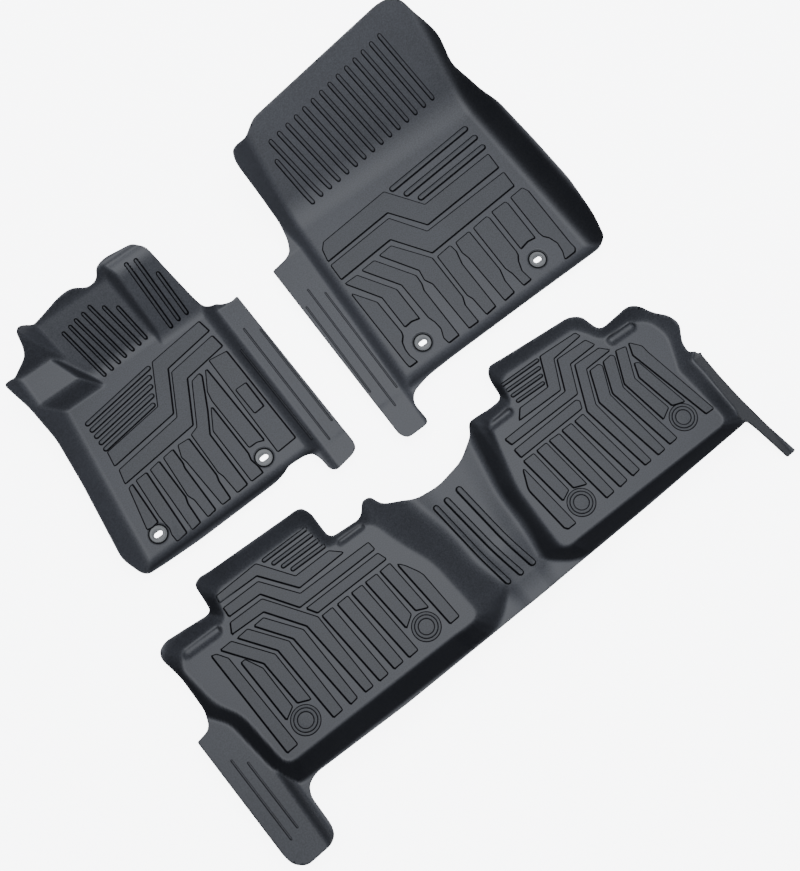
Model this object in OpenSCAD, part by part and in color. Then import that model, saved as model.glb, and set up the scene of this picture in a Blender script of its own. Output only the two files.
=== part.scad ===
// Floor mat set for a crew-cab truck: a driver mat, a passenger mat and a one-piece
// rear mat, each a thin moulded tray. Each front mat has two anchor grommets, and a
// grommet is an upper ring and a lower snap ring that clamp the mat between them.
// X runs across the cab, Y runs forward and Z is up.

/* [Sheet] */
// Thickness of the moulded sheet
sheet_t = 3; // [2.5:0.5:4]
// Depth of the base plate that lies on the carpet
base_t = 2.5; // [2:0.5:3]
// Height of a raised tread panel above the sheet
tread_h = 1.5; // [1:0.5:3]

/* [Walls] */
// Height of the door-sill flap of a front mat
sill_h = 35; // [25:1:50]
// Height of the rear mat's sill wall
rear_sill_h = 45; // [35:1:55]
// Height of the tunnel crown on the rear mat
tunnel_h = 36; // [20:1:45]
// Highest point of the wall along the back of the rear mat
back_wall_h = 85; // [60:1:95]
// Rise of the toe boards, per unit of length
toe_rise = 0.74; // [0.6:0.02:0.8]

/* [Grommets] */
// Bore through the mat for a grommet barrel
bore_d = 33; // [33:1:36]
// Outer diameter of the upper ring
flange_d = 38; // [38:1:41]
// Thickness of the upper ring's flange
flange_t = 2; // [1.5:0.5:3]
// Outer diameter of the barrel that joins the two rings
barrel_d = 32; // [30:1:32]
// Outer diameter of the lower snap ring
snap_d = 44; // [42:1:46]
// Length of the slot that takes the floor hook, across the cab
slot_l = 20; // [16:1:22]
// Width of the slot that takes the floor hook
slot_w = 12; // [8:1:14]

/* [Layout] */
// Rear left corner of the driver mat's floor
driver_at = [-563, -3];
// Rear left corner of the passenger mat's floor
passenger_at = [117, -3];
// Middle of the rear edge of the rear mat's floor
rear_at = [27, -517];

/* [Hidden] */

mat_color = "#34373c";
ring_color = "#a9adb2";
skin_z = 0.5;              // the sheet's underside over the base plate
top_z = skin_z + sheet_t;  // the sheet's upper face on a flat floor
seat_z = top_z + 0.5;      // face that an upper ring sits on
boss_h = 1.7;              // height of the ring that surrounds a seat
boss_d = 56;
seat_d = 43;
pocket_d = 47;             // recess under the mat for the snap ring
pocket_h = 2;
snap_t = 1.6;
snap_bore_d = barrel_d + 0.6;

// Centres of the grommets, on each front mat's own floor
driver_seats = [[44, 40], [323, 40]];
passenger_seats = [[82, 40], [415, 40]];
rear_bosses = [[-525, 48], [-211, 48], [219, 55], [521, 66]];

// Outlines, anticlockwise from the rear left corner
driver_outline = [
    [-30, -14], [-18, -24], [20, -27], [110, -30], [310, -26], [335, -20], [354, -9], [394, -12],
    [410, -20], [418, -42], [420, -74], [432, -86], [478, -78], [492, -70], [496, -56], [494, 150],
    [492, 373], [474, 370], [446, 376], [427, 394], [414, 420], [396, 500], [386, 552], [368, 571],
    [303, 579], [278, 574], [262, 559], [237, 556], [204, 567], [172, 566], [66, 552], [46, 508],
    [-17, 490], [-30, 480], [-27, 463], [-17, 417], [-11, 330], [-21, 215], [-44, 28]
];
passenger_outline = [
    [-95, -105], [-84, -122], [-26, -123], [-28, -68], [-10, -45], [38, -34], [110, -31], [360, -29],
    [510, -29], [540, -28], [558, -18], [568, 34], [578, 137], [578, 260], [575, 390], [560, 480],
    [545, 530], [549, 584], [540, 620], [515, 684], [490, 699], [457, 701], [73, 654], [0, 612],
    [-18, 598], [-26, 575], [-14, 500], [-11, 453], [-20, 408], [-32, 386], [-48, 379], [-88, 374]
];
rear_outline = [
    [-711, -140], [-706, -162], [-686, -181], [-625, -178], [-606, -168], [-600, -149], [-600, -82],
    [-590, -62], [-566, -52], [-344, -56], [0, -50], [300, -42], [587, -30], [612, -24], [621, -55],
    [636, -141], [666, -140], [656, -64], [647, 24], [645, 90], [648, 154], [630, 156], [618, 168],
    [624, 195], [645, 232], [640, 262], [604, 318], [580, 334], [502, 330], [484, 380], [461, 396],
    [260, 410], [240, 408], [229, 394], [225, 338], [124, 334], [108, 306], [59, 276], [-10, 263],
    [-72, 268], [-130, 308], [-142, 336], [-160, 338], [-180, 315], [-262, 320], [-262, 384],
    [-272, 403], [-288, 408], [-528, 412], [-545, 404], [-550, 340], [-660, 347], [-680, 338],
    [-686, 322], [-678, 267], [-676, 180], [-687, 148], [-722, 142]
];
// Floors of the rear mat's two wells
left_well = [
    [-607, 0], [-621, 135], [-652, 190], [-666, 285], [-650, 310], [-532, 312], [-521, 370], [-505, 377],
    [-300, 377], [-288, 370], [-282, 305], [-171, 300], [-150, 225], [-119, 148], [-108, 0]
];
right_well = [
    [124, 0], [131, 162], [160, 265], [175, 312], [245, 318], [255, 372], [270, 380], [455, 372],
    [470, 355], [495, 310], [572, 305], [605, 285], [618, 235], [590, 170], [582, 155], [592, 0]
];

// Largest and smallest of two heights, with the corner between them rounded over k
function round_max(a, b, k) = max(a, b) + pow(max(1 - abs(a - b) / k, 0), 2) * k / 4;
function round_min(a, b, k) = -round_max(-a, -b, k);
function ease(t) = let (s = min(max(t, 0), 1)) s * s * (3 - 2 * s);

// Signed distance of p to the left of the line from a to b
function left_of(p, a, b) =
    ((b.x - a.x) * (p.y - a.y) - (b.y - a.y) * (p.x - a.x)) / norm(b - a);

// Distance from p to the segment from a to b
function from_segment(p, a, b) =
    let (t = min(max((p - a) * (b - a) / ((b - a) * (b - a)), 0), 1))
    norm(p - a - t * (b - a));

// Whether a ray from p crosses the side from a to b
function crosses(p, a, b) =
    (a.y > p.y) != (b.y > p.y)
    && p.x < (b.x - a.x) * (p.y - a.y) / (b.y - a.y) + a.x ? 1 : 0;

function total(v, i = 0) = i < len(v) ? v[i] + total(v, i + 1) : 0;

// Distance from p to a floor's edge, and 0 on the floor
function off_floor(p, floor_pts) =
    let (n = len(floor_pts))
    let (hits = total([for (i = [0:n - 1]) crosses(p, floor_pts[i], floor_pts[(i + 1) % n])]))
    hits % 2 == 1 ? 0
    : min([for (i = [0:n - 1]) from_segment(p, floor_pts[i], floor_pts[(i + 1) % n])]);

// Height of a wall over the distance d from its foot: level at the foot, then upright
function cove(d, slope, c) = d > 0 ? slope * d * d / (d + c) : 0;

// Rise of the driver mat's upper face above its floor
function driver_rise(p) =
    let (
        left_wall = cove(left_of(p, [2, 0], [47, 400]), 1.4, 16),
        rear_wall = round_min(-p.y, 25, 8),
        sill = round_min(
            1.5 * (p.x - 411),
            sill_h - 0.1 * (p.x - 430) + 1.2 * max(p.y - 370, 0), 10),
        toe_board = toe_rise * (p.y - 418),
        toe_front = round_min(100 + 2.5 * (p.y - 555), 132, 10),
        footrest = round_min(
            round_min(0.9 * (p.y - 400) + 4, 128, 15),
            max(toe_board, 0) + 2.2 * (p.x - 286 - 0.1 * (500 - p.y)), 8),
        toe_side = round_min(
            toe_board + 1.9 * left_of(p, [104, 490], [96, 550]),
            50 + 2.4 * (p.y - 484), 12),
        block_top = round_min(
            50 + 0.15 * (p.y - 404), 2.2 * left_of(p, [133, 410], [108, 495]), 14),
        corner_block = round_min(block_top, 2.2 * (p.y - 391), 14),
        walls = [left_wall, rear_wall, sill, toe_board, toe_front, footrest, toe_side, corner_block]
    )
    blend_up(walls, 12);

function blend_up(walls, k, i = 0, z = 0) =
    i < len(walls) ? blend_up(walls, k, i + 1, round_max(z, walls[i], k)) : z;

// Rise of the passenger mat's upper face above its floor
function passenger_rise(p) =
    let (
        sill = round_min(
            1.4 * left_of(p, [0, 0], [28, 451]),
            sill_h + 0.1 * (p.x + 25) + 0.35 * max(p.y - 380, 0), 10),
        right_wall = round_min(cove(p.x - 518, 1.6, 26), 60, 10),
        rear_wall = round_min(-7 - p.y, 25, 8),
        toe_board = round_max(0, toe_rise * (p.y - 462), 30)
    )
    toe_board + blend_up([sill, right_wall, rear_wall], 14);

// Rise of the rear mat's upper face above its floors
function rear_rise(p) =
    let (
        far = 1000,
        d = min(off_floor(p, left_well), off_floor(p, right_well)),
        well_wall = 1.7 + (0.5 + 1.4 * ease(p.x / 600)) * ease((115 - p.y) / 115)
            + 0.9 * ease((-598 - p.x) / 20) * ease((190 - p.y) / 60),
        by_tunnel = ease((p.x + 180) / 30) * ease((165 - p.x) / 30),
        tunnel_wall = 1.0 + 0.3 * ease(p.x / 60) + 1.1 * ease((20 - p.y) / 60),
        steep = well_wall + (tunnel_wall - well_wall) * by_tunnel,
        crest_at = abs(p.x - 8) / (68 + 50 * ease((p.y - 60) / 250)),
        crests = 14 * ease((crest_at - 0.25) / 0.75) - 9,
        tunnel = p.x > -170 && p.x < 185
            ? tunnel_h + crests + 0.1 * max(p.y, 0)
                + (back_wall_h - tunnel_h) * ease((110 - p.y) / 165)
            : far,
        left_sill = p.x < -598
            ? rear_sill_h + 0.05 * (p.x + 655) + 2.2 * max(p.x + 628, 0) : far,
        right_sill = p.x > 585
            ? min(42, 42 - 0.75 * (p.x - 600)) + 3 * max(604 - p.x, 0) + 2 * max(p.y - 150, 0)
            : far,
        sills = round_min(round_min(left_sill, right_sill, 12), back_wall_h, 12)
    )
    max(round_min(round_min(cove(d, steep, 12), tunnel, 18), sills, 12), 0);

// Rise of one mat, by its name
function rise(mat, p) =
    mat == "driver" ? driver_rise(p) : mat == "passenger" ? passenger_rise(p) : rear_rise(p);

// Depth of the sheet measured straight down, which grows with the slope
function upright_depth(mat, p) =
    let (
        gx = (rise(mat, p + [1, 0]) - rise(mat, p - [1, 0])) / 2,
        gy = (rise(mat, p + [0, 1]) - rise(mat, p - [0, 1])) / 2
    )
    sheet_t * min(sqrt(1 + gx * gx + gy * gy), 2.2);

// A sheet that follows one mat's surface over the grid of xs by ys
module sheet(mat, xs, ys) {
    nx = len(xs);
    ny = len(ys);
    n = nx * ny;
    top = [for (y = ys) for (x = xs) [x, y, top_z + rise(mat, [x, y])]];
    bottom = [for (q = top) [q.x, q.y, max(skin_z, q.z - upright_depth(mat, [q.x, q.y]))]];
    cells = [for (j = [0:ny - 2]) for (i = [0:nx - 2]) j * nx + i];
    up = [for (c = cells) each [[c, c + nx, c + 1], [c + 1, c + nx, c + nx + 1]]];
    down = [for (f = up) [n + f[0], n + f[2], n + f[1]]];
    rim = concat(
        [for (i = [0:nx - 2]) [i, i + 1]],
        [for (j = [0:ny - 2]) [j * nx + nx - 1, (j + 1) * nx + nx - 1]],
        [for (i = [nx - 2:-1:0]) [(ny - 1) * nx + i + 1, (ny - 1) * nx + i]],
        [for (j = [ny - 2:-1:0]) [(j + 1) * nx, j * nx]]
    );
    sides = [for (e = rim) [e[0], e[1], n + e[1], n + e[0]]];
    polyhedron(concat(top, bottom), concat(up, down, sides), convexity = 10);
}

// One mat: the sheet cut to its outline, with a flat base plate
module mat_body(mat, outline, xs, ys, base) {
    intersection() {
        sheet(mat, xs, ys);
        translate([0, 0, -1]) linear_extrude(height = 260) polygon(outline);
    }
    for (b = base) linear_extrude(height = base_t) polygon(b);
}

// A raised tread panel on the floor
module panel(points) {
    translate([0, 0, top_z - 0.5]) linear_extrude(height = tread_h + 0.5) polygon(points);
}

// A straight tread stripe from a to b
module stripe(a, b, w) {
    side = [a.y - b.y, b.x - a.x] * (w / 2 / norm(b - a));
    panel([a - side, b - side, b + side, a + side]);
}

// Seats for the grommets: a raised ring, a recess, a bore and a pocket below
module seat_rings(seats) {
    for (s = seats)
        translate([s.x, s.y, base_t - 1]) cylinder(d = boss_d, h = top_z + boss_h - base_t + 1, $fn = 64);
}
module seat_bores(seats) {
    for (s = seats) translate([s.x, s.y, 0]) {
        translate([0, 0, seat_z]) cylinder(d = seat_d, h = 10, $fn = 64);
        translate([0, 0, -1]) cylinder(d = bore_d, h = 20, $fn = 64);
        translate([0, 0, -1]) cylinder(d = pocket_d, h = 1 + pocket_h, $fn = 64);
    }
}

module driver_mat() color(mat_color) translate(driver_at) {
    xs = concat([each [-50:12:58]], [90, 104, 118, 132, 160, 220, 280, 292, 304, 316, 340, 380],
        [each [392:10:442]], [470, 500]);
    ys = concat([-92, -60, -32, -22, -12, -2, 8, 60, 140, 260, 360, 380], [each [392:12:440]],
        [460, 480, 500], [each [516:12:588]]);
    difference() {
        union() {
            mat_body("driver", driver_outline, xs, ys, [[[10, 10], [390, 10], [390, 385], [50, 385]]]);
            seat_rings(driver_seats);
            for (i = [0:4]) stripe([62 + 6 * i, 338 - 15 * i], [232 - 8 * i, 362 - 18 * i], 6);
            for (i = [0:4]) stripe([90 + 44 * i, 160 + 20 * i], [90 + 44 * i, 20], 24);
        }
        seat_bores(driver_seats);
    }
}

module passenger_mat() color(mat_color) translate(passenger_at) {
    xs = concat([-98, -70, -50, -38], [each [-28:8:36]], [70, 200, 340, 460, 505], [each [515:10:595]]);
    ys = concat([-128, -90, -60], [each [-42:10:8]], [60, 200, 340, 420], [each [436:12:496]], [540, 600, 650, 710]);
    difference() {
        union() {
            mat_body("passenger", passenger_outline, xs, ys,
                [[[10, 4], [515, 4], [515, 440], [35, 440]]]);
            seat_rings(passenger_seats);
            for (i = [0:2]) stripe([250 + 22 * i, 420 - 22 * i], [470, 420 - 22 * i], 8);
            for (i = [0:4]) stripe([150 + 50 * i, 200], [150 + 50 * i, 10], 24);
        }
        seat_bores(passenger_seats);
    }
}

module rear_mat() color(mat_color) translate(rear_at) {
    xs = concat([-726, -690, -672], [each [-660:12:-588]], [-570, -550, -534, -520, -500, -400, -310],
        [each [-292:12:-256]], [-210, -180, -160, -144, -130, -118, -106, -90, -74, -58, -40, -16, 32, 56, 72, 86, 100],
        [112, 124, 136, 150, 170],
        [195, 215, 230, 245, 260, 350, 450, 468, 484, 500, 540], [each [564:12:660]], [672]);
    ys = concat([-185, -140, -80, -58, -46, -34, -22, -10, 2, 14, 36, 60, 90, 120, 150, 170, 230, 262],
        [each [286:12:346]], [362, 378, 394, 416]);
    difference() {
        union() {
            mat_body("rear", rear_outline, xs, ys, [
                [[-590, 8], [-120, 8], [-135, 150], [-185, 290], [-300, 295], [-310, 365], [-500, 365],
                    [-520, 295], [-640, 290], [-640, 200], [-605, 140]],
                [[136, 8], [575, 8], [575, 290], [490, 300], [450, 360], [275, 365], [250, 305],
                    [190, 300], [145, 160]]
            ]);
            for (b = rear_bosses)
                translate([b.x, b.y, base_t - 1]) cylinder(d = boss_d, h = top_z + boss_h - base_t + 1, $fn = 64);
            for (i = [0:3]) stripe([-462 + 62 * i, 190], [-462 + 62 * i, 15], 26);
            for (i = [0:3]) stripe([280 + 60 * i, 190], [290 + 62 * i, 15], 26);
        }
        for (b = rear_bosses)
            translate([b.x, b.y, seat_z]) cylinder(d = 33, h = 10, $fn = 64);
    }
}

// Slot of a grommet: straight sides with round ends, running across the cab
module hook_slot() {
    reach = (slot_l - slot_w) / 2;
    for (side = [-1, 1]) translate([side * reach, 0, -5]) cylinder(d = slot_w, h = 20, $fn = 48);
    translate([-reach, -slot_w / 2, -5]) cube([2 * reach, slot_w, 20]);
}

// Upper half of a grommet: flange and barrel with the slot through both
module upper_ring(at) {
    color(ring_color) translate([at.x, at.y, 0]) difference() {
        union() {
            translate([0, 0, seat_z]) cylinder(d = flange_d, h = flange_t, $fn = 64);
            translate([0, 0, 0.6]) cylinder(d = barrel_d, h = seat_z, $fn = 64);
        }
        hook_slot();
    }
}

// Lower half of a grommet: the snap ring in the pocket under the mat
module lower_ring(at) {
    color(ring_color) translate([at.x, at.y, pocket_h - snap_t]) difference() {
        cylinder(d = snap_d, h = snap_t, $fn = 64);
        translate([0, 0, -1]) cylinder(d = snap_bore_d, h = snap_t + 2, $fn = 64);
    }
}

driver_left = driver_at + driver_seats[0];
driver_right = driver_at + driver_seats[1];
passenger_left = passenger_at + passenger_seats[0];
passenger_right = passenger_at + passenger_seats[1];

rear_mat();
driver_mat();
passenger_mat();
upper_ring(driver_left);  // driver_left_upper_ring
lower_ring(driver_left);  // driver_left_lower_ring
upper_ring(driver_right);  // driver_right_upper_ring
lower_ring(driver_right);  // driver_right_lower_ring
upper_ring(passenger_left);  // passenger_left_upper_ring
lower_ring(passenger_left);  // passenger_left_lower_ring
upper_ring(passenger_right);  // passenger_right_upper_ring
lower_ring(passenger_right);  // passenger_right_lower_ring
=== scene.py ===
"""Looks of the floor mat set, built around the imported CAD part.

Every outline below is in millimetres on its own mat: X across the cab, Y forward, with the
same origin that the part's source uses. The finished meshes are in metres in the CAD frame.
"""
import math

import bpy
import numpy as np
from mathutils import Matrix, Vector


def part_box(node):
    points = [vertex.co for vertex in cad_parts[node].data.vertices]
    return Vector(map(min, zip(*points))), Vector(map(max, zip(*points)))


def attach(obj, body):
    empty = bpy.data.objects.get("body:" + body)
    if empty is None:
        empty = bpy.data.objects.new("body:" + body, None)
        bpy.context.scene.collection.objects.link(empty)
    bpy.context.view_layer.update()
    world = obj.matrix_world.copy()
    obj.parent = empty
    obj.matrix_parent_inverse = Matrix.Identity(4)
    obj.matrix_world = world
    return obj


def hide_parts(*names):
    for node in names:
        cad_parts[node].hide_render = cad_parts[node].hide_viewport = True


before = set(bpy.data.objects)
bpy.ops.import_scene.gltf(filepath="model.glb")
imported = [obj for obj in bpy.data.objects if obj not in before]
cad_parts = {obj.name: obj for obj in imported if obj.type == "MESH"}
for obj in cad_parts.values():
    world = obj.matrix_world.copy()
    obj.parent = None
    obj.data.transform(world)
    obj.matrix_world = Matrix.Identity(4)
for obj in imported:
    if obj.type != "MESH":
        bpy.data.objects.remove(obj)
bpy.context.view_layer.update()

MM = 0.001
TOP_Z = 3.5          # upper face of the sheet over a well floor
SKIN_Z = 0.5         # underside of the sheet over a well floor
SHEET_T = 3.0
SEAT_Z = 4.0         # face that a grommet's upper ring sits on
PLATE_H = 1.45       # how far the blank plate is raised over its panel's sheet
CORNER_CUT = 16.0    # how far the arc at a corner of a mat reaches back along each side
SHARP_CUT = 2.0      # the same at a corner that stays sharp
WELL_CUT = 24.0      # the same at a corner of a rear well's floor
MAX_STRETCH = 2.2    # most that a steep wall's upright depth grows over SHEET_T
SLOT_L, SLOT_W = 20.0, 12.0
HOLE_R = 24.5        # hole in a front mat's grid, under the turned seat
TURN_STEPS = 96      # faces round a turned piece

# ---------------------------------------------------------------- outlines of the mats
driver_outline = np.array([
    (-30, -14), (-18, -24), (20, -27), (110, -30), (310, -26), (335, -20), (354, -9), (394, -12),
    (410, -20), (418, -42), (420, -74), (432, -86), (478, -78), (492, -70), (496, -56), (494, 150),
    (492, 373), (474, 370), (446, 376), (427, 394), (414, 420), (396, 500), (386, 552), (368, 571),
    (303, 579), (278, 574), (262, 559), (237, 556), (204, 567), (172, 566), (66, 552), (46, 508),
    (-17, 490), (-30, 480), (-27, 463), (-17, 417), (-11, 330), (-21, 215), (-44, 28)], float)
passenger_outline = np.array([
    (-95, -105), (-84, -122), (-26, -123), (-28, -68), (-10, -45), (38, -34), (110, -31),
    (360, -29), (510, -29), (540, -28), (558, -18), (568, 34), (578, 137), (578, 260), (575, 390),
    (560, 480), (545, 530), (549, 584), (540, 620), (515, 684), (490, 699), (457, 701), (73, 654),
    (0, 612), (-18, 598), (-26, 575), (-14, 500), (-11, 453), (-20, 408), (-32, 386), (-48, 379),
    (-88, 374)], float)
rear_outline = np.array([
    (-711, -140), (-706, -162), (-686, -181), (-625, -178), (-606, -168), (-600, -149),
    (-600, -82), (-590, -62), (-566, -52), (-344, -56), (0, -50), (300, -42), (587, -30),
    (612, -24), (621, -55), (636, -141), (666, -140), (656, -64), (647, 24), (645, 90),
    (648, 154), (630, 156), (618, 168), (624, 195), (645, 232), (640, 262), (604, 318),
    (580, 334), (502, 330), (484, 380), (461, 396), (260, 410), (240, 408), (229, 394),
    (225, 338), (124, 334), (108, 306), (59, 276), (-10, 263), (-72, 268), (-130, 308),
    (-142, 336), (-160, 338), (-180, 315), (-262, 320), (-262, 384), (-272, 403), (-288, 408),
    (-528, 412), (-545, 404), (-550, 340), (-660, 347), (-680, 338), (-686, 322), (-678, 267),
    (-676, 180), (-687, 148), (-722, 142)], float)
left_well = np.array([
    (-607, 0), (-621, 135), (-652, 190), (-666, 285), (-650, 310), (-532, 312), (-521, 370), (-505, 377),
    (-300, 377), (-288, 370), (-282, 305), (-171, 300), (-150, 225), (-119, 148), (-108, 0)], float)
right_well = np.array([
    (124, 0), (131, 162), (160, 265), (175, 312), (245, 318), (255, 372), (270, 380), (455, 372),
    (470, 355), (495, 310), (572, 305), (605, 285), (618, 235), (590, 170), (582, 155), (592, 0)],
    float)
driver_seats = [(44, 40), (323, 40)]
passenger_seats = [(82, 40), (415, 40)]
rear_bosses = [(-525, 48), (-211, 48), (219, 55), (521, 66)]

# Blank plate on the driver mat's long right-hand panel
driver_plate = [[(364, 203), (390, 203), (390, 136), (366, 134)]]

# ---------------------------------------------------------------- raised tread panels
driver_panels = [
    [(391, 386), (396, 355), (272, 337), (222, 243), (54, 222), (59, 257), (205, 276), (254, 370)],
    [(395, 340), (399, 307), (293, 292), (241, 195), (50, 175), (57, 208), (225, 230), (275, 324)],
    [(320, 284), (322, 276), (286, 203), (258, 154), (258, 13), (232, 11), (229, 59), (225, 73),
     (227, 178), (247, 185), (299, 279)],
    [(298, 204), (300, 68), (296, 52), (300, 32), (300, 14), (271, 13), (270, 156)],
    [(339, 284), (345, 72), (330, 78), (311, 78), (308, 215), (312, 238)],
    [(357, 296), (399, 290), (403, 35), (355, 32)],
    [(60, 164), (57, 62), (41, 60), (31, 62), (51, 161)],
    [(73, 166), (99, 167), (93, 5), (68, 2), (67, 21), (71, 35), (69, 51), (68, 72)],
    [(111, 167), (135, 171), (136, 72), (131, 55), (129, 6), (108, 3), (110, 89)],
    [(149, 172), (174, 175), (174, 137), (171, 125), (171, 9), (151, 6), (149, 54), (143, 70)],
    [(190, 176), (216, 174), (217, 71), (213, 56), (211, 10), (191, 9), (184, 134), (181, 149)],
]
passenger_panels = [
    [(38, 358), (51, 372), (238, 389), (294, 305), (492, 318), (489, 277), (268, 262), (213, 343),
     (31, 328)],
    [(30, 315), (206, 328), (257, 248), (491, 259), (488, 218), (233, 200), (177, 285), (28, 274)],
    [(133, 267), (168, 270), (224, 189), (220, 72), (212, 53), (211, 4), (186, 4), (187, 138),
     (178, 157), (183, 183)],
    [(79, 262), (115, 264), (168, 177), (166, 154), (160, 138), (156, 5), (128, 4), (126, 19),
     (135, 40), (134, 61), (129, 79), (129, 179)],
    [(29, 259), (62, 259), (112, 177), (110, 91), (92, 96), (73, 94), (75, 181)],
    [(25, 231), (58, 179), (58, 89), (55, 80), (44, 68), (39, 51), (38, 34), (43, 12), (23, 12),
     (22, 24)],
    [(237, 184), (276, 188), (278, 169), (269, 136), (265, 9), (238, 6), (237, 54), (232, 68)],
    [(292, 186), (332, 189), (329, 73), (321, 45), (320, 10), (292, 7), (292, 139), (288, 158)],
    [(347, 190), (388, 194), (391, 188), (387, 85), (385, 76), (376, 64), (367, 40), (370, 11),
     (349, 10), (347, 47), (342, 67)],
    [(406, 196), (446, 197), (448, 190), (443, 86), (424, 89), (401, 84)],
    [(464, 198), (500, 201), (506, 187), (499, 26), (500, 10), (494, 3), (465, 2), (473, 19),
     (477, 43), (470, 66), (461, 77), (459, 90)],
]
rear_panels = [
    [(-525, 354), (-523, 369), (-418, 374), (-366, 301), (-278, 302), (-255, 281), (-373, 277),
     (-430, 353)],
    [(-526, 339), (-436, 340), (-380, 265), (-200, 265), (-198, 246), (-397, 243), (-447, 317),
     (-526, 318)],
    [(-387, 232), (-198, 234), (-191, 214), (-374, 211)],
    [(-532, 305), (-451, 305), (-380, 203), (-374, 19), (-392, 19), (-408, 202), (-463, 282),
     (-543, 284)],
    [(-496, 269), (-472, 271), (-420, 200), (-414, 20), (-431, 18), (-446, 198)],
    [(-538, 270), (-512, 272), (-458, 199), (-453, 19), (-475, 18), (-486, 198)],
    [(-581, 271), (-554, 272), (-497, 195), (-492, 76), (-517, 87), (-525, 194)],
    [(-562, 223), (-553, 224), (-534, 187), (-531, 87), (-555, 73)],
    [(-603, 272), (-594, 269), (-579, 247), (-567, 20), (-592, 19)],
    [(-370, 199), (-344, 200), (-334, 20), (-355, 19)],
    [(-330, 199), (-304, 200), (-294, 21), (-316, 20)],
    [(-292, 200), (-266, 200), (-255, 21), (-277, 20)],
    [(-255, 200), (-227, 200), (-221, 88), (-245, 72)],
    [(-216, 200), (-191, 201), (-183, 78), (-207, 89)],
    [(-178, 190), (-167, 176), (-153, 150), (-149, 138), (-143, 24), (-166, 23)],
    [(361, 368), (329, 301), (249, 301), (231, 281), (346, 280), (381, 346), (462, 352),
     (458, 363)],
    [(387, 339), (465, 336), (475, 316), (402, 314), (370, 250), (182, 248), (178, 265), (353, 270)],
    [(179, 234), (358, 240), (363, 234), (356, 218), (180, 213)],
    [(410, 305), (477, 303), (494, 285), (423, 283), (386, 206), (400, 35), (384, 35), (362, 205)],
    [(428, 274), (452, 274), (456, 266), (426, 204), (440, 36), (422, 35), (397, 205)],
    [(465, 272), (488, 274), (492, 267), (460, 200), (478, 39), (458, 38), (434, 203)],
    [(504, 275), (527, 269), (494, 200), (509, 103), (484, 90), (469, 204)],
    [(518, 227), (526, 222), (547, 92), (520, 102), (505, 196)],
    [(539, 271), (528, 244), (567, 42), (587, 41), (558, 228), (557, 248)],
    [(326, 204), (349, 206), (366, 35), (347, 33)],
    [(290, 205), (315, 205), (329, 33), (309, 31)],
    [(253, 204), (279, 203), (290, 31), (270, 30)],
    [(217, 203), (243, 204), (254, 80), (227, 91)],
    [(179, 202), (206, 202), (214, 93), (191, 83)],
    [(167, 190), (168, 176), (180, 28), (160, 28), (155, 35), (147, 142), (149, 151)],
]

# Ribs: start, end and width
driver_ribs = (
    [((60, 338 - 18 * i), (238 - 10 * i, 364 - 19.5 * i), 8.5) for i in range(5)]
    + [((134, 514), (152, 410), 5), ((154, 517), (173, 412), 5), ((172, 521), (194, 415), 5),
       ((193, 523), (213, 419), 5), ((213, 527), (235, 421), 5), ((238, 512), (255, 423), 5),
       ((263, 498), (274, 426), 5)]
    + [((330, 540), (334, 412), 6), ((352, 536), (357, 415), 6), ((376, 496), (380, 416), 6)])
passenger_ribs = (
    [((259, 384), (490, 404), 11), ((278, 354), (494, 372), 11), ((298, 326), (493, 341), 11)]
    + [((468 - 27.1 * i, 503 - 2.6 * i), (427 - 26.7 * i, 650 - 3.8 * i), 8) for i in range(14)]
    + [((89, 466), (68, 565), 8)])
rear_ribs = (
    [((-399 + 12.5 * i, 370 - 17.5 * i), (-290 + 3 * i, 371 - 18 * i), 7) for i in range(4)]
    + [((251 + 1.5 * i, 367 - 16.5 * i), (349 - 8 * i, 365 - 16.5 * i), 6) for i in range(4)]
    + [((18, 230), (40, 14), 11), ((-17, 227), (8, 13), 10), ((-46, 227), (-25, 14), 10)])
LINE_W = 2.5
driver_lines = [((458, 299), (457, -21), LINE_W), ((487, 276), (487, 11), LINE_W),
                ((425, 265), (428, 4), LINE_W)]
passenger_lines = [((-27, 257), (-35, -16), LINE_W), ((-53, 288), (-63, -47), LINE_W),
                   ((-80, 257), (-87, 12), LINE_W)]
rear_lines = [((-688, 71), (-681, -122), LINE_W), ((-664, 47), (-658, -111), LINE_W)]


# ---------------------------------------------------------------- heights of the mats
def rounded(points, cut, radius=0.0):
    """A closed outline with every corner turned into an arc: a quadratic curve from a place
    on one side, through the pull of the corner, to a place on the next side. Each place is
    cut from the corner, or farther at a sharp corner, so that the arc keeps its radius."""
    p = np.asarray(points, float)
    before, after = np.roll(p, 1, axis=0) - p, np.roll(p, -1, axis=0) - p
    lb, la = np.linalg.norm(before, axis=1), np.linalg.norm(after, axis=1)
    cos = np.clip((before * after).sum(axis=1) / (lb * la), -1, 1)
    reach = np.maximum(cut, radius / np.maximum(np.tan(np.arccos(cos) / 2), 0.1))
    r = np.minimum(reach, 0.45 * np.minimum(lb, la))[:, None]
    a, b = p + before / lb[:, None] * r, p + after / la[:, None] * r
    t = np.linspace(0, 1, 5)[None, :, None]
    arcs = (1 - t) ** 2 * a[:, None] + 2 * t * (1 - t) * p[:, None] + t * t * b[:, None]
    return arcs.reshape(-1, 2)


def anticlockwise(points):
    """The same outline, turned round if its signed area is negative."""
    p = np.asarray(points, float)
    x, y = p[:, 0], p[:, 1]
    area = (x * np.roll(y, -1) - np.roll(x, -1) * y).sum()
    return p if area > 0 else p[::-1]


def round_max(a, b, k):
    """max(a, b) + k/4 * (1 - |a-b|/k)^2: the larger height, with the corner rounded over k."""
    return np.maximum(a, b) + np.maximum(1 - np.abs(a - b) / k, 0) ** 2 * k / 4


def round_min(a, b, k):
    """The smaller height, with the corner rounded over k: minus the round_max of minus both."""
    return -round_max(-np.asarray(a, float), -np.asarray(b, float), k)


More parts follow.
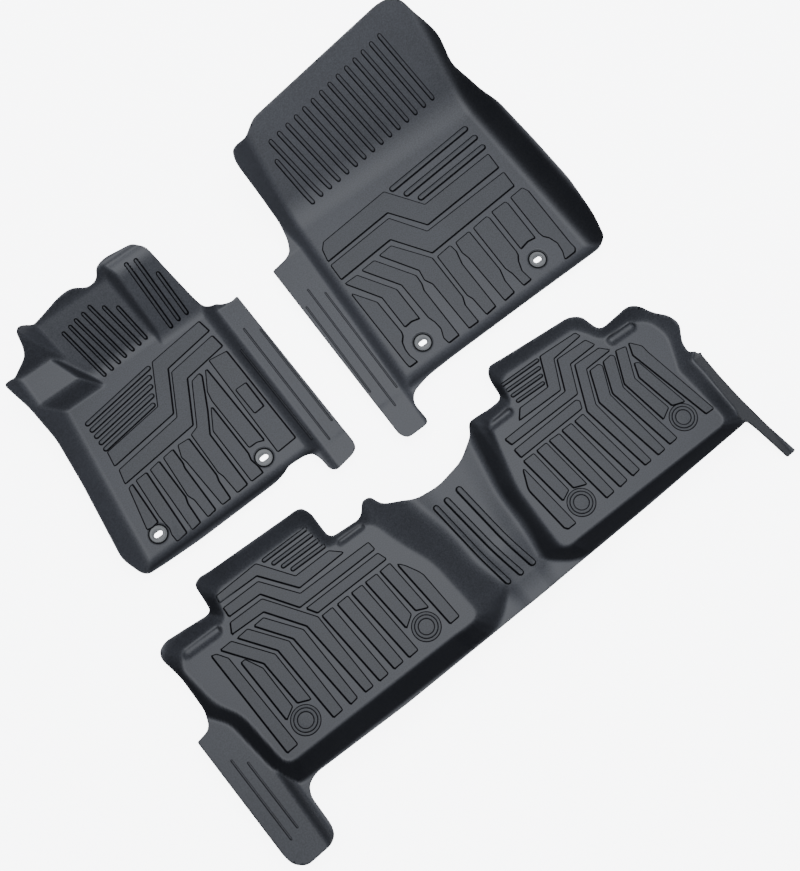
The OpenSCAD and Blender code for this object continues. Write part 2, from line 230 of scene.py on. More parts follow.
def ease(t):
    """A smooth step from 0 to 1 while t goes from 0 to 1: 3 s^2 - 2 s^3."""
    s = np.clip(t, 0, 1)
    return s * s * (3 - 2 * s)


def left_of(x, y, a, b):
    """Signed distance of (x, y) to the left of the line from a to b."""
    length = math.hypot(b[0] - a[0], b[1] - a[1])
    return ((b[0] - a[0]) * (y - a[1]) - (b[1] - a[1]) * (x - a[0])) / length


def nearest(x, y, loop):
    """Distance from each point to a closed loop, the nearest place on it, and whether the point
    is inside: a ray to the right then crosses the loop an odd number of times."""
    best = np.full(x.shape, 1e9)
    nx, ny = np.zeros(x.shape), np.zeros(x.shape)
    inside = np.zeros(x.shape, bool)
    for (ax, ay), (bx, by) in zip(loop, np.roll(loop, -1, axis=0)):
        dx, dy = bx - ax, by - ay
        t = np.clip(((x - ax) * dx + (y - ay) * dy) / (dx * dx + dy * dy), 0, 1)
        px, py = ax + t * dx, ay + t * dy
        d = np.hypot(x - px, y - py)
        near = d < best
        best, nx, ny = np.where(near, d, best), np.where(near, px, nx), np.where(near, py, ny)
        if ay != by:
            inside ^= ((ay > y) != (by > y)) & (x < dx * (y - ay) / dy + ax)
    return best, nx, ny, inside


def off_floor(x, y, well):
    """Distance out from a well's floor, and 0 on it."""
    d, _, _, inside = nearest(x, y, well)
    return np.where(inside, 0, d)


def blend_up(walls, k):
    """Rounded maximum of a flat floor at 0 and every wall, taken one after another."""
    z = np.zeros_like(walls[0])
    for w in walls:
        z = round_max(z, w, k)
    return z


def cove(d, slope, c):
    """Height of a wall over the distance d from its foot: slope * d^2 / (d + c), which leaves
    the floor level and turns upright over about c."""
    d = np.maximum(d, 0)
    return slope * d * d / (d + c)


def from_segment(x, y, a, b):
    """Distance from each point to the nearest place between a and b."""
    dx, dy = b[0] - a[0], b[1] - a[1]
    t = np.clip(((x - a[0]) * dx + (y - a[1]) * dy) / (dx * dx + dy * dy), 0, 1)
    return np.hypot(x - a[0] - t * dx, y - a[1] - t * dy)


def driver_rise(x, y):
    """Rounded maximum of the driver mat's wall planes over its floor."""
    toe_board = 0.74 * (y - 418)
    footrest = round_min(
        round_min(0.9 * (y - 400) + 4, 128, 15),
        np.maximum(toe_board, 0) + 2.2 * (x - 286 - 0.1 * (500 - y)), 8)
    side_of_toe = round_min(toe_board + 1.9 * left_of(x, y, (104, 490), (96, 550)),
                            50 + 2.4 * (y - 484), 12)
    block = round_min(round_min(50 + 0.15 * (y - 404), 2.2 * left_of(x, y, (133, 410), (108, 495)), 14),
                      2.2 * (y - 391), 14)
    return blend_up([
        cove(left_of(x, y, (2, 0), (47, 400)), 1.4, 16),
        round_min(-y, 25, 8),
        round_min(1.5 * (x - 411), 35 - 0.1 * (x - 430) + 1.2 * np.maximum(y - 370, 0), 10),
        toe_board,
        round_min(100 + 2.5 * (y - 555), 132, 10),
        footrest, side_of_toe, block], 12)


def plate_rise(x, y):
    """The driver mat's height, raised by PLATE_H."""
    return driver_rise(x, y) + PLATE_H


def passenger_rise(x, y):
    """Rounded maximum of the passenger mat's walls, added to the slope of its toe board."""
    sill = round_min(1.4 * left_of(x, y, (0, 0), (28, 451)),
                     35 + 0.1 * (x + 25) + 0.35 * np.maximum(y - 380, 0), 10)
    right = round_min(cove(x - 518, 1.6, 26), 60, 10)
    rear = round_min(-7 - y, 25, 8)
    return round_max(0, 0.74 * (y - 462), 30) + blend_up([sill, right, rear], 14)


# The wells' floors with their corners rounded
left_floor, right_floor = (rounded(anticlockwise(well), WELL_CUT) for well in (left_well, right_well))
# Ledges at the front of the rear wells: start, end and half width
ledges = [((-640, 309), (-566, 308), 12), ((-246, 303), (-192, 302), 8),
          ((166, 308), (222, 309), 10), ((512, 300), (566, 298), 12)]


def rear_rise(x, y):
    """Distance from the well floors carried up the walls by cove(), held under the tunnel and the
    two sills by a rounded minimum, with a rounded ledge added in each front corner."""
    far = 1000.0
    d = np.minimum(off_floor(x, y, left_floor), off_floor(x, y, right_floor))
    at_back = ease((115 - y) / 115)
    well_wall = (1.7 + (0.5 + 1.4 * ease(x / 600)) * at_back
                 + 0.9 * ease((-598 - x) / 20) * ease((190 - y) / 60))
    by_tunnel = ease((x + 180) / 30) * ease((165 - x) / 30)
    tunnel_wall = 1.0 + 0.3 * ease(x / 60) + 1.1 * ease((20 - y) / 60)
    steep = well_wall + (tunnel_wall - well_wall) * by_tunnel
    crest_at = np.abs(x - 8) / (68 + 50 * ease((y - 60) / 250))
    tunnel = np.where((x > -170) & (x < 185),
                      27 + 14 * ease((crest_at - 0.25) / 0.75) + 0.1 * np.maximum(y, 0)
                      + 49 * ease((110 - y) / 165), far)
    left_sill = np.where(x < -598, 45 + 0.05 * (x + 655) + 2.2 * np.maximum(x + 628, 0), far)
    right_sill = np.where(
        x > 585, np.minimum(42, 42 - 0.75 * (x - 600)) + 3 * np.maximum(604 - x, 0)
        + 2 * np.maximum(y - 150, 0), far)
    wall = round_min(round_min(cove(d, steep, 12), tunnel, 18),
                     round_min(round_min(left_sill, right_sill, 12), 85, 12), 12)
    for a, b, r in ledges:
        wall = round_max(wall, round_min(8, 1.4 * (r - from_segment(x, y, a, b)), 4), 4)
    return np.maximum(wall, 0)


# ---------------------------------------------------------------- mesh makers
def new_object(name, verts, faces, painted_shade):
    """A smooth-shaded object from vertices in mm, with each vertex's painted shade value."""
    mesh = bpy.data.meshes.new(name)
    mesh.from_pydata((np.asarray(verts) * MM).tolist(), [], faces)
    mesh.validate()
    mesh.update()
    attr = mesh.attributes.new("painted_shade", "FLOAT", "POINT")
    attr.data.foreach_set("value", np.asarray(painted_shade, np.float32))
    mesh.polygons.foreach_set("use_smooth", np.ones(len(mesh.polygons), bool))
    obj = bpy.data.objects.new(name, mesh)
    bpy.context.collection.objects.link(obj)
    return obj


def resampled(loop, step):
    """The same closed loop with points every step along it."""
    closed = np.vstack([loop, loop[:1]])
    run = np.r_[0, np.cumsum(np.linalg.norm(np.diff(closed, axis=0), axis=1))]
    s = np.linspace(0, run[-1], max(int(run[-1] / step), 8), endpoint=False)
    return np.c_[np.interp(s, run, closed[:, 0]), np.interp(s, run, closed[:, 1])]


def outward(loop):
    """Unit normals that point out of an anticlockwise loop, stretched for a mitred offset."""
    e = np.roll(loop, -1, axis=0) - loop
    n = np.c_[e[:, 1], -e[:, 0]] / np.maximum(np.linalg.norm(e, axis=1), 1e-9)[:, None]
    m = n + np.roll(n, 1, axis=0)
    m /= np.maximum(np.linalg.norm(m, axis=1), 1e-9)[:, None]
    cos = np.clip((m * n).sum(axis=1), 0.6, 1)
    return m / cos[:, None]


def trimmed_grid(loop, cell, holes):
    """A square grid inside a loop and outside round holes (x, y, radius).

    Grid points nearer than half a cell to the loop, or to a hole, are moved onto it, so the
    cells that remain end exactly there. Puts out x, y, the whole cells as quads and the cells
    that have lost one corner as triangles.
    """
    lo, hi = loop.min(axis=0) - 2 * cell, loop.max(axis=0) + 2 * cell
    xs, ys = np.arange(lo[0], hi[0], cell), np.arange(lo[1], hi[1], cell)
    x, y = np.meshgrid(xs, ys)
    d, px, py, inside = nearest(x, y, loop)
    signed = np.where(inside, -d, d)
    for cx, cy, r in holes:
        q = np.hypot(x - cx, y - cy)
        hole = r - q
        closer = np.abs(hole) < np.abs(signed)
        px = np.where(closer, cx + (x - cx) / np.maximum(q, 1e-6) * r, px)
        py = np.where(closer, cy + (y - cy) / np.maximum(q, 1e-6) * r, py)
        signed = np.maximum(signed, hole)
    snap = np.abs(signed) < 0.5 * cell
    x, y = np.where(snap, px, x), np.where(snap, py, y)
    kept = snap | (signed < 0)
    index = np.arange(x.size).reshape(x.shape)
    corner = [index[:-1, :-1], index[:-1, 1:], index[1:, 1:], index[1:, :-1]]
    alive = [kept[:-1, :-1], kept[:-1, 1:], kept[1:, 1:], kept[1:, :-1]]
    count = sum(a.astype(int) for a in alive)
    quads = np.stack([c[count == 4] for c in corner], axis=1)
    halves = []
    for k in range(4):
        three = (count == 3) & ~alive[k]
        halves.append(np.stack([corner[(k + j) % 4][three] for j in (1, 2, 3)], axis=1))
    tris = np.vstack(halves)
    used = np.unique(np.r_[quads.ravel(), tris.ravel()])
    renumber = np.full(x.size, -1)
    renumber[used] = np.arange(len(used))
    return x.ravel()[used], y.ravel()[used], renumber[quads], renumber[tris]


def open_edges(quads, tris, n):
    """The directed edges that only one face has: those whose reverse is no other face's edge."""
    edges = np.vstack([np.stack([quads[:, i], quads[:, (i + 1) % 4]], axis=1) for i in range(4)]
                      + [np.stack([tris[:, i], tris[:, (i + 1) % 3]], axis=1) for i in range(3)])
    forward, back = edges[:, 0] * n + edges[:, 1], edges[:, 1] * n + edges[:, 0]
    return edges[~np.isin(forward, back)]


# Rows of a mat's lip: how far out of the edge, and how far down the sheet's thickness
LIP = ((0.5, 0.06), (0.9, 0.28), (0.9, 0.72), (0.5, 0.94))


def tray(name, outline, rise, at, cell, holes, dark_side, sharp):
    """A mat's sheet: z = TOP_Z + rise(x, y) over a trimmed grid.

    The underside is SHEET_T below, measured across the sheet, up to MAX_STRETCH times that
    upright and never under SKIN_Z. The LIP rows close the edge.
    The painted shade value grows with the slope, most where a wall faces dark_side: the colour is
    darkened there in place of the wall's shade. Corners of the outline listed in sharp are hardly
    rounded.
    """
    corner_cut = np.full(len(outline), CORNER_CUT)
    corner_cut[list(sharp)] = SHARP_CUT
    loop = anticlockwise(rounded(outline, corner_cut))
    fx, fy, quads, tris = trimmed_grid(loop, cell, holes)
    n = len(fx)
    top = TOP_Z + rise(fx, fy)
    gx = (rise(fx + 1, fy) - rise(fx - 1, fy)) / 2
    gy = (rise(fx, fy + 1) - rise(fx, fy - 1)) / 2
    stretch = np.minimum(np.sqrt(1 + gx * gx + gy * gy), MAX_STRETCH)
    bottom = np.maximum(SKIN_Z, top - SHEET_T * stretch)
    slope = np.hypot(gx, gy)
    # Painted shade: steep walls, most those facing dark_side, are darkened in colour
    faced = -(gx * dark_side[0] + gy * dark_side[1]) / np.maximum(slope, 1e-6)
    shade = 0.75 * ease((slope - 0.15) / 1.2) * (0.15 + 0.85 * np.clip(1.5 * faced, -0.15, 1))
    shade = np.clip(shade, 0, 1)
    rim = open_edges(quads, tris, n)
    side = np.stack([fy[rim[:, 1]] - fy[rim[:, 0]], fx[rim[:, 0]] - fx[rim[:, 1]]], axis=1)
    side /= np.maximum(np.linalg.norm(side, axis=1), 1e-9)[:, None]
    out = np.zeros((n, 2))
    np.add.at(out, rim[:, 0], side)
    np.add.at(out, rim[:, 1], side)
    on_rim = np.unique(rim)
    out[on_rim] /= np.maximum(np.linalg.norm(out[on_rim], axis=1), 1e-9)[:, None]
    verts = [np.c_[fx, fy, top], np.c_[fx, fy, bottom]]
    for reach, t in LIP:
        flat = np.c_[fx, fy][on_rim] + out[on_rim] * reach
        verts.append(np.c_[flat, top[on_rim] * (1 - t) + bottom[on_rim] * t])
    place = np.full(n, -1)
    place[on_rim] = np.arange(len(on_rim))
    a, b = rim[:, 0], rim[:, 1]
    starts = [2 * n + k * len(on_rim) for k in range(len(LIP))]
    rows = [(a, b)] + [(o + place[a], o + place[b]) for o in starts] + [(n + a, n + b)]
    lip = [np.stack([upper[0], lower[0], lower[1], upper[1]], axis=1)
           for upper, lower in zip(rows, rows[1:])]
    faces = (quads.tolist() + tris.tolist() + (n + quads[:, ::-1]).tolist()
             + (n + tris[:, ::-1]).tolist() + [f for part in lip for f in part.tolist()])
    verts = np.vstack(verts) + np.array([at[0], at[1], 0])
    return new_object(name, verts, faces,
                      np.concatenate([shade, np.zeros(n)] + [shade[on_rim]] * len(LIP)))


# Rows of a raised edge: outward reach, height over the sheet, and how much painted shade: the dark line
# round its foot is painted shadow
EDGE = [(1.4, -0.4, 0.0), (1.35, 0.06, 0.0), (1.15, 0.1, 1.0), (0.0, 0.15, 1.0), (-0.12, 1.0, 1.0),
        (-0.4, 1.4, 0.2), (-0.8, 1.5, 0.0), (-1.2, 1.5, 0.0)]


def shadow_width(normal, shadow_side):
    """How many times its rows' reach a painted shadow line is made: 1.5, and up to 1.2 more where the
    edge's normal turns to the shadow side."""
    return 1.5 + 1.2 * np.clip(normal @ np.array(shadow_side), 0, 1)[:, None]


def panels(name, outlines, rise, at, shadow_side):
    """Raised tread panels: the EDGE profile carried round each outline with its corners
    rounded, on the sheet's own surface, closed over the top and below."""
    verts, faces, dark, base = [], [], [], 0
    for outline in outlines:
        loop = resampled(rounded(anticlockwise(outline), 2.2, radius=1.6), 2.5)
        n, normal = len(loop), outward(loop)
        # Painted shadow: the dark line at the foot is wider on the shadow side
        wide = shadow_width(normal, shadow_side)
        for reach, h, c in EDGE:
            q = loop + normal * (reach * wide if reach > 0 else reach)
            verts.append(np.c_[q, TOP_Z + rise(q[:, 0], q[:, 1]) + h])
            dark.append(np.full(n, c))
        i = np.arange(n)
        j = (i + 1) % n
        for k in range(len(EDGE) - 1):
            lower, upper = base + k * n, base + (k + 1) * n
            faces += np.stack([lower + i, lower + j, upper + j, upper + i], axis=1).tolist()
        faces.append((base + (len(EDGE) - 1) * n + i).tolist())
        faces.append((base + i[::-1]).tolist())
        base += len(EDGE) * n
    verts = np.vstack(verts) + np.array([at[0], at[1], 0])
    return new_object(name, verts, faces, np.concatenate(dark))


def ribs(name, lines, rise, at, rows, shadow_side):
    """Straight ribs with round ends: rows of a raised edge carried round each rib's outline,
    and quads across it, all on the sheet's own surface."""
    verts, faces, dark, base = [], [], [], 0
    turn = np.linspace(0, np.pi, 7)
    for a, b, width in lines:
        a, b = np.array(a, float), np.array(b, float)
        length = np.linalg.norm(b - a)
        along = (b - a) / length
        across = np.array([-along[1], along[0]])
        count = max(int(length / 6), 2)
        t = np.linspace(0, 1, count)[:, None]
        half = width / 2
        right_n = np.array([along[1], -along[0]])
        # Painted shadow: the dark line along a rib is wider on the shadow side
        near, far = shadow_width(np.array([right_n, -right_n]), shadow_side)[:, 0]
        for reach, h, c in rows:
            r = max(half + reach * ((near + far) / 2 if reach > 0 else 1), 0.2)
            shift = right_n * max(reach, 0) * (near - far) / 2
            right = a + (b - a) * t - across * r
            left = (a + (b - a) * t + across * r)[::-1]
            cap_b = b + r * (np.sin(turn)[1:-1, None] * along - np.cos(turn)[1:-1, None] * across)
            cap_a = a - r * (np.sin(turn)[1:-1, None] * along - np.cos(turn)[1:-1, None] * across)
            q = np.vstack([right, cap_b, left, cap_a]) + shift
            verts.append(np.c_[q, TOP_Z + rise(q[:, 0], q[:, 1]) + h])
            dark.append(np.full(len(q), c))
        n = len(q)
        i = np.arange(n)
        j = (i + 1) % n
        for k in range(len(rows) - 1):
            lower, upper = base + k * n, base + (k + 1) * n
            faces += np.stack([lower + i, lower + j, upper + j, upper + i], axis=1).tolist()
        s = np.arange(count - 1)
        mirror = 2 * count + 4 - s         # the point across the rib from point s
        for row, flip in ((len(rows) - 1, False), (0, True)):
            o = base + row * n
            quad = np.stack([o + s, o + s + 1, o + mirror - 1, o + mirror], axis=1)
            end_b = o + np.arange(count - 1, count + 6)
            end_a = o + np.r_[np.arange(2 * count + 4, n), 0]
            group = [f.tolist() for f in quad] + [end_b.tolist(), end_a.tolist()]
            faces += [f[::-1] for f in group] if flip else group
        base += len(rows) * n
    verts = np.vstack(verts) + np.array([at[0], at[1], 0])
    return new_object(name, verts, faces, np.concatenate(dark))


# Rows of a rib and of a sill line, in the same order as EDGE
RIB = [(1.5, -0.4, 0.0), (1.4, 0.06, 0.0), (1.1, 0.1, 1.0), (0.0, 0.15, 1.0), (-0.2, 1.2, 0.8),
       (-0.7, 1.9, 0.0), (-1.5, 2.2, 0.0)]
LINE = [(0.8, -0.4, 0.0), (0.7, 0.08, 0.2), (0.4, 0.1, 0.8), (0.0, 0.2, 0.7), (-0.3, 0.7, 0.1),
        (-0.9, 0.9, 0.0)]


def lathe(name, centres, profile, at, closed=True):
    """A profile of (radius, height, painted shade) rows turned about each upright centre line."""
    p = np.array(profile, float)
    turn = np.linspace(0, 2 * np.pi, TURN_STEPS, endpoint=False)
    verts, faces, dark, base = [], [], [], 0
    rows = len(p)
    i = np.arange(TURN_STEPS)
    j = (i + 1) % TURN_STEPS
    for c in centres:
        x = c[0] + p[:, :1] * np.cos(turn)
        y = c[1] + p[:, :1] * np.sin(turn)
        z = np.repeat(p[:, 1:2], TURN_STEPS, axis=1)
        verts.append(np.stack([x, y, z], axis=2).reshape(-1, 3))
        dark.append(np.repeat(p[:, 2], TURN_STEPS))
        last = rows if closed else rows - 1
        for k in range(last):
            lower, upper = base + k * TURN_STEPS, base + (k + 1) % rows * TURN_STEPS
            faces += np.stack([lower + i, lower + j, upper + j, upper + i], axis=1).tolist()
        if not closed:
            faces.append((base + (rows - 1) * TURN_STEPS + i).tolist())
            faces.append((base + i[::-1]).tolist())
        base += rows * TURN_STEPS
    verts = np.vstack(verts) + np.array([at[0], at[1], 0])
    return new_object(name, verts, faces, np.concatenate(dark))


def grommet_ring(name, centre):
    """A grommet's upper half: rows that go round the flange, over its top, down the slot and
    back up the barrel. A row's outline is a circle, or the slot grown by the row's reach."""
    n = TURN_STEPS
    turn = np.linspace(0, 2 * np.pi, n, endpoint=False)
    half = (SLOT_L - SLOT_W) / 2

    def circle(r):
        return np.c_[r * np.cos(turn), r * np.sin(turn)]

    def slot(reach):
        r = SLOT_W / 2 + reach
        x = r * np.cos(turn)
        return np.c_[x + half * np.clip(np.cos(turn) * 3.0, -1, 1), r * np.sin(turn)]

    rows = [(circle(15.9), 0.7), (circle(15.9), SEAT_Z), (circle(18.5), SEAT_Z + 0.02),
            (circle(18.95), SEAT_Z + 0.35), (circle(19.0), SEAT_Z + 1.2), (circle(18.7), SEAT_Z + 1.7),
            (circle(18.0), SEAT_Z + 1.98), (circle(16.8), SEAT_Z + 2.0), (circle(16.2), SEAT_Z + 1.7),
            (circle(15.4), SEAT_Z + 1.65), (slot(2.4), SEAT_Z + 1.65), (slot(1.8), SEAT_Z + 1.95),
            (slot(1.0), SEAT_Z + 2.0), (slot(0.3), SEAT_Z + 1.8), (slot(0.0), SEAT_Z + 1.3),
            (slot(0.0), 1.0), (slot(0.3), 0.7)]
    verts = np.vstack([np.c_[flat, np.full(n, z)] for flat, z in rows])
    i = np.arange(n)
    j = (i + 1) % n
    faces = []
    for k in range(len(rows)):
        lower, upper = k * n, (k + 1) % len(rows) * n
        faces += np.stack([lower + i, lower + j, upper + j, upper + i], axis=1).tolist()
    return new_object(name, verts + np.array([centre[0], centre[1], 0]), faces, np.zeros(len(verts)))


# ---------------------------------------------------------------- materials
def rgba(r, g, b):
    """An opaque colour."""
    return (r, g, b, 1.0)


def grain_group():
    """Moulded grain. Height is a fine noise. Mottle is a quarter of a broad noise and three
    quarters of a pebble-sized one, spread over 0 to 1."""
    g = bpy.data.node_groups.new("moulded_grain", "ShaderNodeTree")
    g.interface.new_socket("Height", in_out="OUTPUT", socket_type="NodeSocketFloat")
    g.interface.new_socket("Mottle", in_out="OUTPUT", socket_type="NodeSocketFloat")
    out = g.nodes.new("NodeGroupOutput")
    coord = g.nodes.new("ShaderNodeTexCoord")
    fine = g.nodes.new("ShaderNodeTexNoise")
    fine.inputs["Scale"].default_value = 900
    fine.inputs["Detail"].default_value = 3
    broad = g.nodes.new("ShaderNodeTexNoise")
    broad.inputs["Scale"].default_value = 6
    broad.inputs["Detail"].default_value = 5
    pebble = g.nodes.new("ShaderNodeTexNoise")
    pebble.inputs["Scale"].default_value = 330
    pebble.inputs["Detail"].default_value = 2
    for node in (fine, broad, pebble):
        g.links.new(coord.outputs["Object"], node.inputs["Vector"])
    both = g.nodes.new("ShaderNodeMix")
    both.inputs["Factor"].default_value = 0.75
    g.links.new(broad.outputs["Fac"], both.inputs["A"])
    g.links.new(pebble.outputs["Fac"], both.inputs["B"])
    spread = g.nodes.new("ShaderNodeMapRange")
    spread.inputs["From Min"].default_value = 0.36
    spread.inputs["From Max"].default_value = 0.64
    g.links.new(both.outputs["Result"], spread.inputs["Value"])
    g.links.new(fine.outputs["Fac"], out.inputs["Height"])
    g.links.new(spread.outputs["Result"], out.inputs["Mottle"])
    return g


GRAIN = grain_group()


def mat_material(name, light, dark, roughness, bump):
    """Moulded elastomer: the mottle runs from dark to light and moves the roughness, the grain's
    height drives the bump, and the painted shade attribute takes colour and gloss to almost nothing."""
    m = bpy.data.materials.new(name)
    m.use_nodes = True
    nt = m.node_tree
    bsdf = nt.nodes["Principled BSDF"]
    grain = nt.nodes.new("ShaderNodeGroup")
    grain.node_tree = GRAIN
    tint = nt.nodes.new("ShaderNodeMix")
    tint.data_type = "RGBA"
    tint.inputs["A"].default_value = dark
    tint.inputs["B"].default_value = light
    nt.links.new(grain.outputs["Mottle"], tint.inputs["Factor"])
    painted_shade = nt.nodes.new("ShaderNodeAttribute")
    painted_shade.attribute_name = "painted_shade"
    # Painted shade: mixes the colour towards near-black where the painted shade attribute is high
    shade = nt.nodes.new("ShaderNodeMix")
    shade.data_type = "RGBA"
    shade.inputs["B"].default_value = rgba(0.002, 0.002, 0.003)
    nt.links.new(painted_shade.outputs["Fac"], shade.inputs["Factor"])
    nt.links.new(tint.outputs["Result"], shade.inputs["A"])
    nt.links.new(shade.outputs["Result"], bsdf.inputs["Base Color"])
    rough = nt.nodes.new("ShaderNodeMapRange")
    rough.inputs["To Min"].default_value = roughness - 0.05
    rough.inputs["To Max"].default_value = roughness + 0.06
    nt.links.new(grain.outputs["Mottle"], rough.inputs["Value"])
    nt.links.new(rough.outputs["Result"], bsdf.inputs["Roughness"])
    relief = nt.nodes.new("ShaderNodeBump")
    relief.inputs["Strength"].default_value = bump
    relief.inputs["Distance"].default_value = 0.0004
    nt.links.new(grain.outputs["Height"], relief.inputs["Height"])
    nt.links.new(relief.outputs["Normal"], bsdf.inputs["Normal"])
    # Painted shade also lowers the gloss
    sheen = nt.nodes.new("ShaderNodeMapRange")
    sheen.inputs["To Min"].default_value = 0.5
    sheen.inputs["To Max"].default_value = 0.04
    nt.links.new(painted_shade.outputs["Fac"], sheen.inputs["Value"])
    nt.links.new(sheen.outputs["Result"], bsdf.inputs["Specular IOR Level"])
    return m


sheet_mat = mat_material("mat_sheet_rubber", rgba(0.048, 0.051, 0.061),
                         rgba(0.026, 0.028, 0.034), 0.5, 0.35)
tread_mat = mat_material("mat_tread_rubber", rgba(0.046, 0.049, 0.058),
                         rgba(0.022, 0.024, 0.029), 0.54, 0.7)
ring_mat = mat_material("grommet_plastic", rgba(0.12, 0.125, 0.13),
                        rgba(0.09, 0.095, 0.10), 0.4, 0.15)


def paint(obj, material):
    """Give a piece one material."""
    obj.data.materials.clear()
    obj.data.materials.append(material)


# ---------------------------------------------------------------- the three mats
def origin_of(node, outline):
    """Where a mat's own origin is, in mm, from its CAD node's box."""
    lo = np.array(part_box(node)[0])[:2] / MM
    return lo - outline.min(axis=0)


# Ring round a grommet seat, the recess and the bore: radius, height, painted shade in the recess
SEAT = [(30.5, SKIN_Z + 0.1, 0), (30.5, TOP_Z - 0.2, 0), (30.4, TOP_Z + 0.08, 0), (30.0, TOP_Z + 0.1, 1),
        (28.4, TOP_Z + 0.15, 1), (28.2, TOP_Z + 1.2, 0.6), (27.4, TOP_Z + 1.7, 0), (23.0, TOP_Z + 1.7, 0),
        (21.8, TOP_Z + 1.3, 0.4), (21.5, SEAT_Z + 0.1, 1), (20.5, SEAT_Z, 1), (19.3, SEAT_Z, 0.8),
        (16.7, SEAT_Z, 0.5), (16.5, SEAT_Z - 0.3, 0), (16.5, 2.1, 0), (23.4, 2.0, 0), (23.5, SKIN_Z, 0)]
# Blind ring boss of the rear mat: radius, height, painted shade in its grooves
BOSS = [(32.5, TOP_Z - 0.4, 0), (32.4, TOP_Z + 0.06, 0), (32.1, TOP_Z + 0.1, 1), (30.7, TOP_Z + 0.15, 1),
        (30.6, TOP_Z + 0.7, 0.6), (30.0, TOP_Z + 0.9, 0), (26.0, TOP_Z + 0.9, 0), (25.5, TOP_Z + 0.6, 1),
        (24.2, TOP_Z + 0.6, 1), (23.9, TOP_Z + 1.4, 0.5), (23.2, TOP_Z + 1.7, 0), (18.6, TOP_Z + 1.7, 0),
        (17.8, TOP_Z + 1.3, 0.5), (17.3, TOP_Z + 0.45, 1), (16.2, TOP_Z + 0.4, 1), (15.6, TOP_Z + 0.5, 0),
        (6.0, TOP_Z + 0.5, 0)]

driver_at = origin_of("driver_mat", driver_outline)
passenger_at = origin_of("passenger_mat", passenger_outline)
rear_at = origin_of("rear_mat", rear_outline)

driver_sheet = tray("driver_sheet", driver_outline, driver_rise, driver_at, 2.7,
                    [(x, y, HOLE_R) for x, y in driver_seats], (0.1, 0.99), (16,))
passenger_sheet = tray("passenger_sheet", passenger_outline, passenger_rise, passenger_at, 3.4,
                       [(x, y, HOLE_R) for x, y in passenger_seats], (-0.93, 0.37), (-1,))
rear_sheet = tray("rear_sheet", rear_outline, rear_rise, rear_at, 3.8, [], (0.78, 0.62),
                  (-1, 15, 16, 20))

# The side of a raised edge where its painted shadow line is widest, on each mat
RIGHT_SIDE, BACK_SIDE, LEFT_SIDE = (0.97, -0.24), (0.3, -0.95), (-0.97, -0.24)
made = {
    "driver": [driver_sheet,
               panels("driver_treads", driver_panels, driver_rise, driver_at, RIGHT_SIDE),
               panels("driver_blank_plate", driver_plate, plate_rise, driver_at, RIGHT_SIDE),
               ribs("driver_ribs", driver_ribs, driver_rise, driver_at, RIB, RIGHT_SIDE),
               ribs("driver_sill_lines", driver_lines, driver_rise, driver_at, LINE, RIGHT_SIDE),
               lathe("driver_seats", driver_seats, SEAT, driver_at)],
    "passenger": [passenger_sheet,
                  panels("passenger_treads", passenger_panels, passenger_rise, passenger_at, BACK_SIDE),
                  ribs("passenger_ribs", passenger_ribs, passenger_rise, passenger_at, RIB, BACK_SIDE),
                  ribs("passenger_sill_lines", passenger_lines, passenger_rise, passenger_at, LINE,
                       BACK_SIDE),
                  lathe("passenger_seats", passenger_seats, SEAT, passenger_at)],
    "rear": [rear_sheet,
             panels("rear_treads", rear_panels, rear_rise, rear_at, LEFT_SIDE),
             ribs("rear_ribs", rear_ribs, rear_rise, rear_at, RIB, LEFT_SIDE),
             ribs("rear_sill_lines", rear_lines, rear_rise, rear_at, LINE, LEFT_SIDE),
             lathe("rear_ring_bosses", rear_bosses, BOSS, rear_at, closed=False)],
}
for body, parts in made.items():
    for part in parts:
        paint(part, sheet_mat if part.name.endswith("sheet") else tread_mat)
        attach(part, body)
    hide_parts(body + "_mat")

# Lower snap ring: radius, height, painted shade
SNAP = [(16.4, 0.6, 0), (16.3, 1.8, 0), (16.6, 2.0, 0), (21.4, 2.0, 0), (22.0, 1.6, 0), (22.0, 0.8, 0),
        (21.6, 0.45, 0), (16.8, 0.4, 0)]
for body, at, seats in (("driver", driver_at, driver_seats),
                        ("passenger", passenger_at, passenger_seats)):
    for side, seat in zip(("left", "right"), seats):
        stem = f"{body}_{side}"
        upper = grommet_ring(stem + "_eyelet", at + np.array(seat))
        lower = lathe(stem + "_snap_ring", [seat], SNAP[::-1], at)
        for piece, node in ((upper, stem + "_upper_ring"), (lower, stem + "_lower_ring")):
            paint(piece, ring_mat)
            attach(piece, body)
            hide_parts(node)

# ---------------------------------------------------------------- floor, light and camera
floor_mesh = bpy.data.meshes.new("studio_floor")
half_w = 30          # metres: its edge shows only as the horizon of a low view
floor_mesh.from_pydata([(-half_w, -half_w, 0), (half_w, -half_w, 0), (half_w, half_w, 0),
                        (-half_w, half_w, 0)], [], [(0, 1, 2, 3)])
floor = bpy.data.objects.new("studio_floor", floor_mesh)
bpy.context.collection.objects.link(floor)
floor_mat = bpy.data.materials.new("studio_white")
floor_mat.use_nodes = True
floor_bsdf = floor_mat.node_tree.nodes["Principled BSDF"]
floor_bsdf.inputs["Base Color"].default_value = rgba(0.93, 0.93, 0.93)
floor_bsdf.inputs["Roughness"].default_value = 0.9
floor_bsdf.inputs["Emission Color"].default_value = rgba(0.97, 0.98, 1.0)
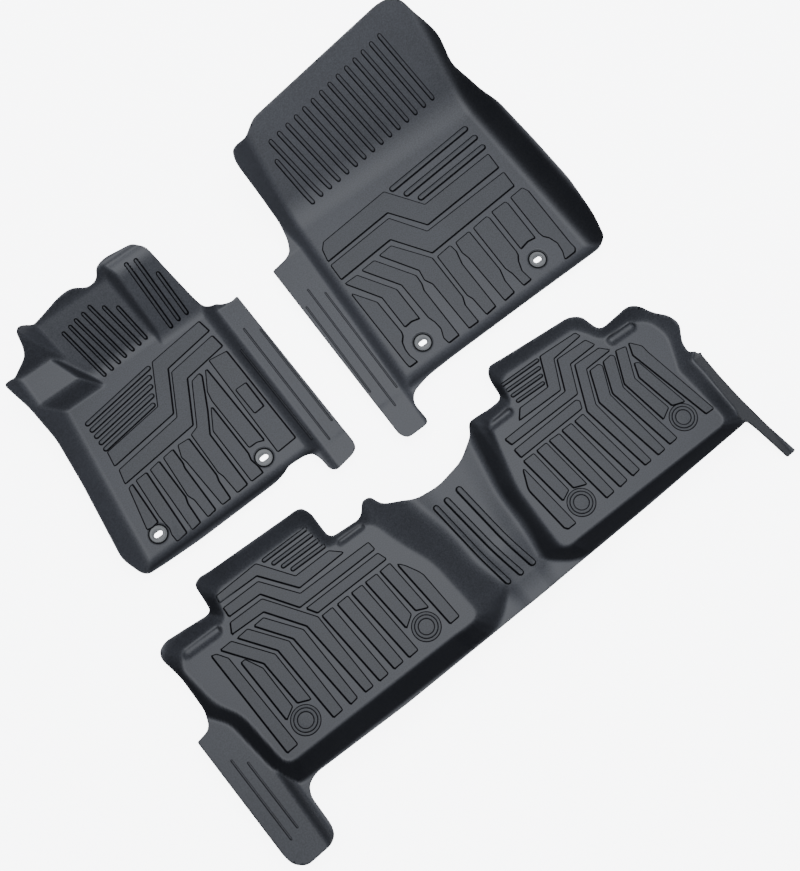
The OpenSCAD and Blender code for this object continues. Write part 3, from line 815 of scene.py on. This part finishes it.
# The floor is overexposed to white for the camera only, so that its glow doesn't light the mats
seen = floor_mat.node_tree.nodes.new("ShaderNodeLightPath")
glow = floor_mat.node_tree.nodes.new("ShaderNodeMath")
glow.operation = "MULTIPLY"
glow.inputs[1].default_value = 7.0
floor_mat.node_tree.links.new(seen.outputs["Is Camera Ray"], glow.inputs[0])
floor_mat.node_tree.links.new(glow.outputs["Value"], floor_bsdf.inputs["Emission Strength"])
paint(floor, floor_mat)

# The camera looks down, tilted from upright and turned from straight ahead
TILT, TURN = math.radians(16), math.radians(37.5)
CAMERA_FAR = 2.631
ahead = np.array([math.sin(TURN), math.cos(TURN), 0])
look = math.sin(TILT) * ahead - np.array([0, 0, math.cos(TILT)])
aim = np.array([0.027, -0.103, 0])
cam_data = bpy.data.cameras.new("camera")
cam_data.sensor_fit = "HORIZONTAL"
cam_data.sensor_width = 36
cam_data.lens = 53.82
camera = bpy.data.objects.new("camera", cam_data)
camera.location = (aim - look * CAMERA_FAR).tolist()
camera.rotation_euler = (TILT, 0, -TURN)
bpy.context.collection.objects.link(camera)
bpy.context.scene.camera = camera


def soft_box(name, place, target, size, power):
    """A square area light at place, turned to face target."""
    data = bpy.data.lights.new(name, "AREA")
    data.shape = "SQUARE"
    data.size = size
    data.energy = power
    data.color = (0.95, 0.97, 1.0)
    light = bpy.data.objects.new(name, data)
    light.location = place
    gap = np.array(target) - np.array(place)
    yaw = math.atan2(gap[1], gap[0])
    pitch = math.atan2(-gap[2], math.hypot(gap[0], gap[1]))
    light.rotation_euler = (0, math.pi / 2 - pitch, yaw)
    bpy.context.collection.objects.link(light)


# One large soft box overhead, a little to the front and right. The pale world fills the rest.
soft_box("overhead", (0.5, 0.5, 3.3), (0.1, 0.0, 0), 3.4, 150)
world = bpy.data.worlds.new("world")
world.use_nodes = True
world.node_tree.nodes["Background"].inputs["Color"].default_value = rgba(0.9, 0.94, 1.0)
world.node_tree.nodes["Background"].inputs["Strength"].default_value = 0.34
bpy.context.scene.world = world
